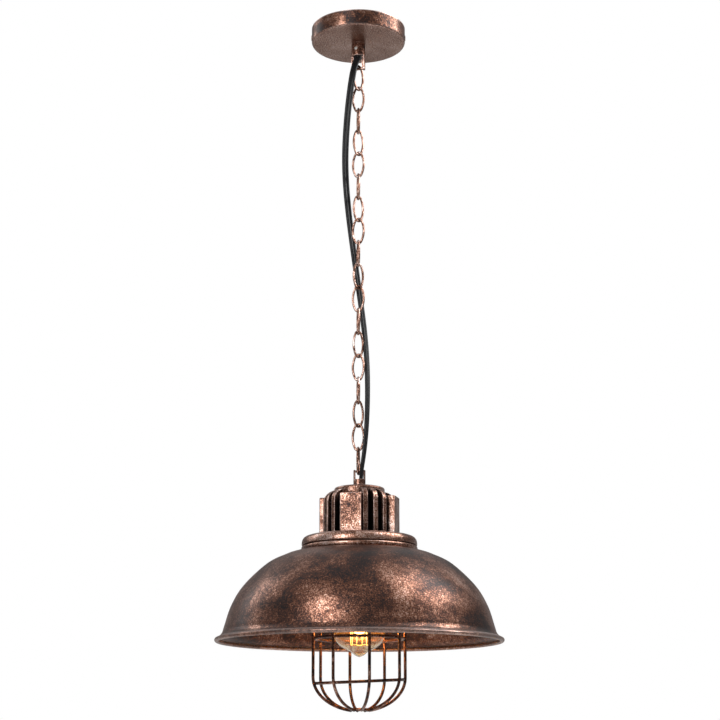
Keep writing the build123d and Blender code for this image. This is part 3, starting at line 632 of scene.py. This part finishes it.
def make_cord():
    line = cord_line()
    section = cord_section()
    for name, top, bottom, upper, lower, bend_start, bend_end, length in CORD_PIECES:
        first = min(range(len(line)), key=lambda n: abs(line[n].z - top))
        last = min(range(len(line)), key=lambda n: abs(line[n].z - bottom))
        run = line[first:last + 1]
        shape = swept(run, section, width=lambda n: cord_width(first + n, len(line)))
        sheath = piece(name + "_sheath", shape, None, CORD_SHEATH, [name])
        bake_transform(sheath)


# ---------------------------------------------------------------- ceiling end

def make_canopy():
    side = CANOPY_RADIUS - SHEET / 2
    bottom = SHEET / 2 - CANOPY_HEIGHT
    line = rounded([(side, 0, 0), (side, bottom, CANOPY_EDGE), (CANOPY_HOLE, bottom, 0)],
                   closed=False)
    shape = lathe(sheet_outline(line, SHEET), 160, axis_x=0)
    piece("canopy_cup", shape, "ceiling", CANOPY_PATINA, ["canopy"])


# ---------------------------------------------------------------- chain

def link_line():
    """Centre line of a link: two tight ends and two long gentle sides, standing along X."""
    reach = LINK_HALF_LENGTH - LINK_END_RADIUS
    narrow = LINK_HALF_WIDTH - LINK_END_RADIUS
    side = (LINK_HALF_WIDTH ** 2 - LINK_END_RADIUS ** 2 + reach ** 2) / (2 * narrow)
    swing = math.atan2(reach, side - LINK_HALF_WIDTH)
    end_steps, side_steps = 12, 10
    quarter = []
    for step in range(side_steps):
        angle = swing * step / side_steps
        quarter.append((LINK_HALF_WIDTH - side + side * math.cos(angle), side * math.sin(angle)))
    for step in range(end_steps + 1):
        angle = swing + (math.pi / 2 - swing) * step / end_steps
        quarter.append((LINK_END_RADIUS * math.cos(angle), reach + LINK_END_RADIUS * math.sin(angle)))
    half = quarter + [(-x, z) for x, z in quarter[-2:0:-1]]
    outline = half + [(-x, -z) for x, z in half]
    return [Vector((x * MM, 0, z * MM)) for x, z in outline]


def make_chain():
    line = link_line()
    link = swept(line, circle(LINK_WIRE * MM, 14), closed=True)
    for body, (first, last) in LINK_BODIES.items():
        for number in range(first, last + 1):
            turn = LINK_FIRST_TURN + LINK_TURN_STEP * (number - 1)
            if number == LINK_COUNT:
                turn = LINK_LAST_TURN
            height = (FIRST_LINK_Z - LINK_PITCH * (number - 1)) * MM
            turning = Matrix.Rotation(math.radians(turn), 4, "Z")
            place = Matrix.Translation((0, 0, height)) @ turning
            name = f"link_{number:02d}"
            piece("bent_" + name, moved(link, place), body, CHAIN_PATINA, [name])


# ---------------------------------------------------------------- cap and ring

def fin_outline():
    """Side of a thin fin: it springs from the drum's top edge and turns down."""
    root = DRUM_RADIUS - CAP_WALL
    spring = DRUM_RADIUS - 1
    foot = FLANGE_TOP - CAST_OVERLAP
    outline = [(-root, foot), (-root, FIN_SHOULDER)]
    steps = 10
    for step in range(steps + 1):
        angle = math.pi / 2 * (1 - step / steps)
        reach = (FIN_REACH - spring) * math.cos(angle)
        outline.append((-spring - reach, FIN_SHOULDER - FIN_DROP + FIN_DROP * math.sin(angle)))
    return outline + [(-FIN_REACH, foot)]


def drum_outline():
    """Outline of the hollow drum and the flange under it, as (radius, height, rounding)."""
    inner = DRUM_RADIUS - CAP_WALL
    ceiling = CAP_EDGE - CAP_SHELL
    hollow_top = FLANGE_TOP - CAP_WALL
    return rounded([
        (CAP_BORE, CAP_TOP, 0),
        (CAP_SEAT, CAP_TOP, 0.5),
        (DRUM_RADIUS - 4, CAP_EDGE, 2),
        (DRUM_RADIUS, CAP_EDGE - 1, DRUM_EDGE),
        (DRUM_RADIUS, FLANGE_TOP, 0.8),
        (FLANGE_RADIUS, FLANGE_TOP, FLANGE_EDGE),
        (FLANGE_RADIUS, FLANGE_BOTTOM, 1.5),
        (FLANGE_HOLLOW, FLANGE_BOTTOM, 0.5),
        (FLANGE_HOLLOW, hollow_top, 0.8),
        (inner, hollow_top, 0.8),
        (inner, ceiling, 2.0),
        (CAP_BORE, ceiling, 0),
    ])


def block_outline():
    """Side of a wide block, which reaches in through the drum's wall."""
    back = DRUM_RADIUS - 2 * CAP_WALL
    foot = FLANGE_TOP - CAST_OVERLAP
    return [(-BLOCK_FACE, foot), (-back, foot), (-back, BLOCK_TOP), (-BLOCK_FACE, BLOCK_TOP)]


def make_cap():
    fin = turned(slab(fin_outline(), FIN_THICKNESS, FIN_EDGE), 90, 0)
    block = turned(slab(block_outline(), BLOCK_WIDTH, BLOCK_EDGE), 90, 0)
    shapes = [lathe(drum_outline(), 144)]
    for number in range(BLOCK_COUNT):
        turn = BLOCK_TURN + 360 / BLOCK_COUNT * number
        shapes.append(turned(block, turn))
        shapes += [turned(fin, turn + fin_turn) for fin_turn in FIN_TURNS]
    cap = piece("cap_casting", together(shapes), "lamp", CAST_PATINA, ["fin_cap"])
    flat = cap.modifiers.new("flat faces", "WEIGHTED_NORMAL")
    flat.keep_sharp = True


def make_ring():
    ring = rounded([(FLANGE_HOLLOW, RING_TOP, 0.5), (RING_RADIUS, RING_TOP, RING_EDGE),
                    (RING_RADIUS, RING_BOTTOM, RING_EDGE), (FLANGE_HOLLOW, RING_BOTTOM, 0.5)])
    piece("rolled_ring", lathe(ring, 160), "lamp", CAST_PATINA, ["neck_ring"])


# ---------------------------------------------------------------- shade and guard

def make_shade():
    line = smooth_line(SHADE_LINE)[:-1] + smooth_line(FLARE_LINE)
    bead = [(BEAD_CENTRE[0] + x, BEAD_CENTRE[1] + z) for x, z in circle(BEAD_RADIUS, 20)]
    shape = together([lathe(sheet_outline(line, SHEET), 256), lathe(bead, 256)])
    piece("spun_shade", shape, "lamp", SHADE_PATINA, ["shade"])


def leg_line():
    """Centre line of a guard leg in front: straight down, then in along a quarter ellipse."""
    points = [Vector((0, -GUARD_RADIUS * MM, GUARD_TOP * MM))]
    end = math.acos(GUARD_BOTTOM_RADIUS / GUARD_RADIUS)
    steps = 16
    for step in range(steps + 1):
        angle = end * step / steps
        height = GUARD_STRAIGHT_END - GUARD_DOME_DEPTH * math.sin(angle)
        points.append(Vector((0, -GUARD_RADIUS * math.cos(angle) * MM, height * MM)))
    return points


def hoop(radius, height, left, dip):
    """A wire hoop round the lamp's axis, some degrees down on the left and at the front."""
    line = [Vector((x, y, 0)) for x, y in circle(radius * MM, 96)]
    ring = swept(line, circle(GUARD_WIRE * MM, 12), closed=True)
    tilt = Matrix.Rotation(math.radians(dip), 4, "X") @ Matrix.Rotation(math.radians(-left), 4, "Y")
    return moved(ring, Matrix.Translation((LAMP_X, 0, height * MM)) @ tilt)


def hoop_welds(radius, height, left, dip, turns):
    """Welds on the outside of a hoop, one at each leg."""
    welds = []
    for turn in turns:
        angle = math.radians(turn)
        x = (radius + GUARD_WIRE) * math.sin(angle)
        y = -(radius + GUARD_WIRE) * math.cos(angle)
        z = height + x * math.tan(math.radians(left)) + y * math.tan(math.radians(dip))
        welds.append(weld((x * MM + LAMP_X, y * MM, z * MM)))
    return welds


def make_guard():
    leg = swept(leg_line(), circle(GUARD_WIRE * MM, 12))
    turns = [GUARD_FIRST_LEG + 360 / GUARD_LEGS * number for number in range(GUARD_LEGS)]
    legs = together([turned(leg, turn) for turn in turns])
    piece("guard_uprights", legs, "lamp", WIRE_PATINA, ["guard_legs"])
    hoops = [hoop(*facts) for facts in GUARD_HOOPS]
    for facts in GUARD_HOOPS[1:3]:
        hoops += hoop_welds(*facts, turns)
    piece("guard_rings", together(hoops), "lamp", WIRE_PATINA, ["guard_hoops"])


# ---------------------------------------------------------------- bulb

def thread_shape():
    """Rolled thread of the bulb's cap: a tube whose wall waves along a helix."""
    points, faces = [], []
    turns, rows = 48, 60
    for row in range(rows + 1):
        height = BULB_THREAD_TOP + (BULB_THREAD_BOTTOM - BULB_THREAD_TOP) * row / rows
        for step in range(turns):
            angle = 2 * math.pi * step / turns
            phase = 2 * math.pi * height / BULB_THREAD_PITCH + angle
            radius = BULB_THREAD_RADIUS + BULB_THREAD_WAVE * math.sin(phase)
            points.append(Vector((radius * MM * math.cos(angle) + LAMP_X,
                                  radius * MM * math.sin(angle), height * MM)))
    for row in range(rows):
        for step in range(turns):
            ahead = (step + 1) % turns
            here, below = row * turns, (row + 1) * turns
            faces.append((here + step, here + ahead, below + ahead, below + step))
    return points, faces


def make_bulb():
    glass = lathe(sheet_outline(smooth_line(BULB_LINE, 6), GLASS_WALL), 96)
    envelope = piece("bulb_envelope", glass, "bulb", CLEAR_GLASS, ["bulb_glass"])
    envelope.visible_shadow = False
    collar = rounded([(12.2, BULB_THREAD_TOP, 0), (12.2, BULB_CAP_TOP, 0.4),
                      (12.9, BULB_CAP_TOP, 0.4), (12.9, BULB_THREAD_TOP, 0)])
    skirt = rounded([(12.3, BULB_THREAD_BOTTOM, 0), (13.1, BULB_THREAD_BOTTOM, 0.3),
                     (13.1, BULB_CAP_BOTTOM, 0.4), (12.3, BULB_CAP_BOTTOM, 0.3)])
    shell = together([lathe(collar, 64), thread_shape(), lathe(skirt, 64)])
    piece("bulb_screw_shell", shell, "bulb", BRASS, ["bulb_cap"])


MAKERS = [make_cord, make_canopy, make_chain, make_cap, make_ring, make_shade, make_guard,
          make_bulb]
for maker in MAKERS:
    maker()


# ---------------------------------------------------------------- CAD nodes that stay

KEPT = [
    (LOOP_PATINA, ["hanger_loop", "lamp_eye"]),
    (ZINC, ["ceiling_bracket", "hanger_nipple", "hanger_lock_washer", "hanger_nut",
            "hanger_set_screw", "lamp_nipple", "lamp_nut"]),
    (CAST_PATINA, ["cap_screws", "guard_tabs", "guard_screws", "canopy_side_screws"]),
    (BRASS, ["earth_screw", "terminal_block_screws", "lampholder_shell", "lampholder_contact",
             "lampholder_terminal_screws"]),
    (SOLDER, ["bulb_contact"]),
    (BLACK_MOULDED, ["cord_grip_bush", "lampholder_body"]),
    (PALE_MOULDED, ["terminal_block"]),
    (LEAD_SHEATH, ["canopy_leads", "lamp_leads"]),
    (DARK_GLASS, ["bulb_insulator"]),
    (CLEAR_GLASS, ["bulb_stem"]),
    (HOT_WIRE, ["bulb_filament"]),
]
for material, names in KEPT:
    for name in names:
        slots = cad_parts[name].data.materials
        slots.clear()
        slots.append(material)
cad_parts["bulb_stem"].visible_shadow = False


# ---------------------------------------------------------------- floor, light and camera

def make_floor():
    finish = Finish("pale_floor", Roughness=0.7)
    cloud = finish.noise(0.5, 3)
    colour = finish.ramp(cloud, [(0.3, (0.74, 0.74, 0.73)), (0.7, (0.78, 0.78, 0.77))])
    corners = [(x * FLOOR_HALF_WIDTH, y * FLOOR_HALF_WIDTH, FLOOR_HEIGHT)
               for x, y in [(-1, -1), (1, -1), (1, 1), (-1, 1)]]
    mesh = bpy.data.meshes.new("floor")
    mesh.from_pydata(corners, [], [(0, 1, 2, 3)])
    mesh.materials.append(finish.set(Base_Color=colour))
    floor = bpy.data.objects.new("floor", mesh)
    bpy.context.scene.collection.objects.link(floor)


def softbox(name, place, size, watts):
    """A soft white light that points at the lamp."""
    light = bpy.data.lights.new(name, "AREA")
    light.shape = "RECTANGLE"
    light.size, light.size_y = size
    light.energy = watts
    lamp = bpy.data.objects.new(name, light)
    lamp.location = place
    aim = Vector(LIGHT_TARGET) - Vector(place)
    lamp.rotation_euler = aim.to_track_quat("-Z", "Y").to_euler()
    bpy.context.scene.collection.objects.link(lamp)


def glow():
    """The lit bulb's own warm light."""
    light = bpy.data.lights.new("bulb_glow", "POINT")
    light.energy = GLOW_WATTS
    light.color = (1.0, 0.50, 0.17)
    light.shadow_soft_size = GLOW_RADIUS
    lamp = bpy.data.objects.new("bulb_glow", light)
    lamp.location = GLOW_PLACE
    bpy.context.scene.collection.objects.link(lamp)
    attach(lamp, "bulb")


def make_world():
    """White seen directly; for reflections dark overhead, bright at eye level, grey below."""
    world = bpy.data.worlds.new("studio")
    bpy.context.scene.world = world
    world.use_nodes = True
    nodes, links = world.node_tree.nodes, world.node_tree.links
    place = nodes.new("ShaderNodeTexCoord")
    split = nodes.new("ShaderNodeSeparateXYZ")
    links.new(place.outputs["Generated"], split.inputs[0])
    raised = nodes.new("ShaderNodeMapRange")
    raised.inputs["From Min"].default_value = -1.0
    links.new(split.outputs["Z"], raised.inputs["Value"])
    ramp = nodes.new("ShaderNodeValToRGB")
    links.new(raised.outputs["Result"], ramp.inputs["Fac"])
    elements = ramp.color_ramp.elements
    for position, level in REFLECTIONS:
        element = elements.new(position)
        element.color = (level, level, level, 1)
    elements.remove(elements[0])
    elements.remove(elements[-1])
    seen = nodes.new("ShaderNodeLightPath")
    mix = nodes.new("ShaderNodeMix")
    mix.data_type = "RGBA"
    links.new(seen.outputs["Is Camera Ray"], mix.inputs[0])
    links.new(ramp.outputs["Color"], mix.inputs[6])
    mix.inputs[7].default_value = (1, 1, 1, 1)
    links.new(mix.outputs[2], nodes["Background"].inputs["Color"])


def make_camera():
    """At the photograph's angle: a little below the shade's rim, looking up."""
    camera = bpy.data.cameras.new("camera")
    camera.lens = CAMERA_LENS
    camera.shift_y = CAMERA_SHIFT
    viewer = bpy.data.objects.new("camera", camera)
    viewer.location = CAMERA_PLACE
    viewer.rotation_euler = (math.radians(90 + CAMERA_LIFT), 0, 0)
    bpy.context.scene.collection.objects.link(viewer)
    bpy.context.scene.camera = viewer


make_floor()
for facts in SOFTBOXES:
    softbox(*facts)
glow()
make_world()
make_camera()
bpy.context.scene.view_settings.view_transform = "Standard"
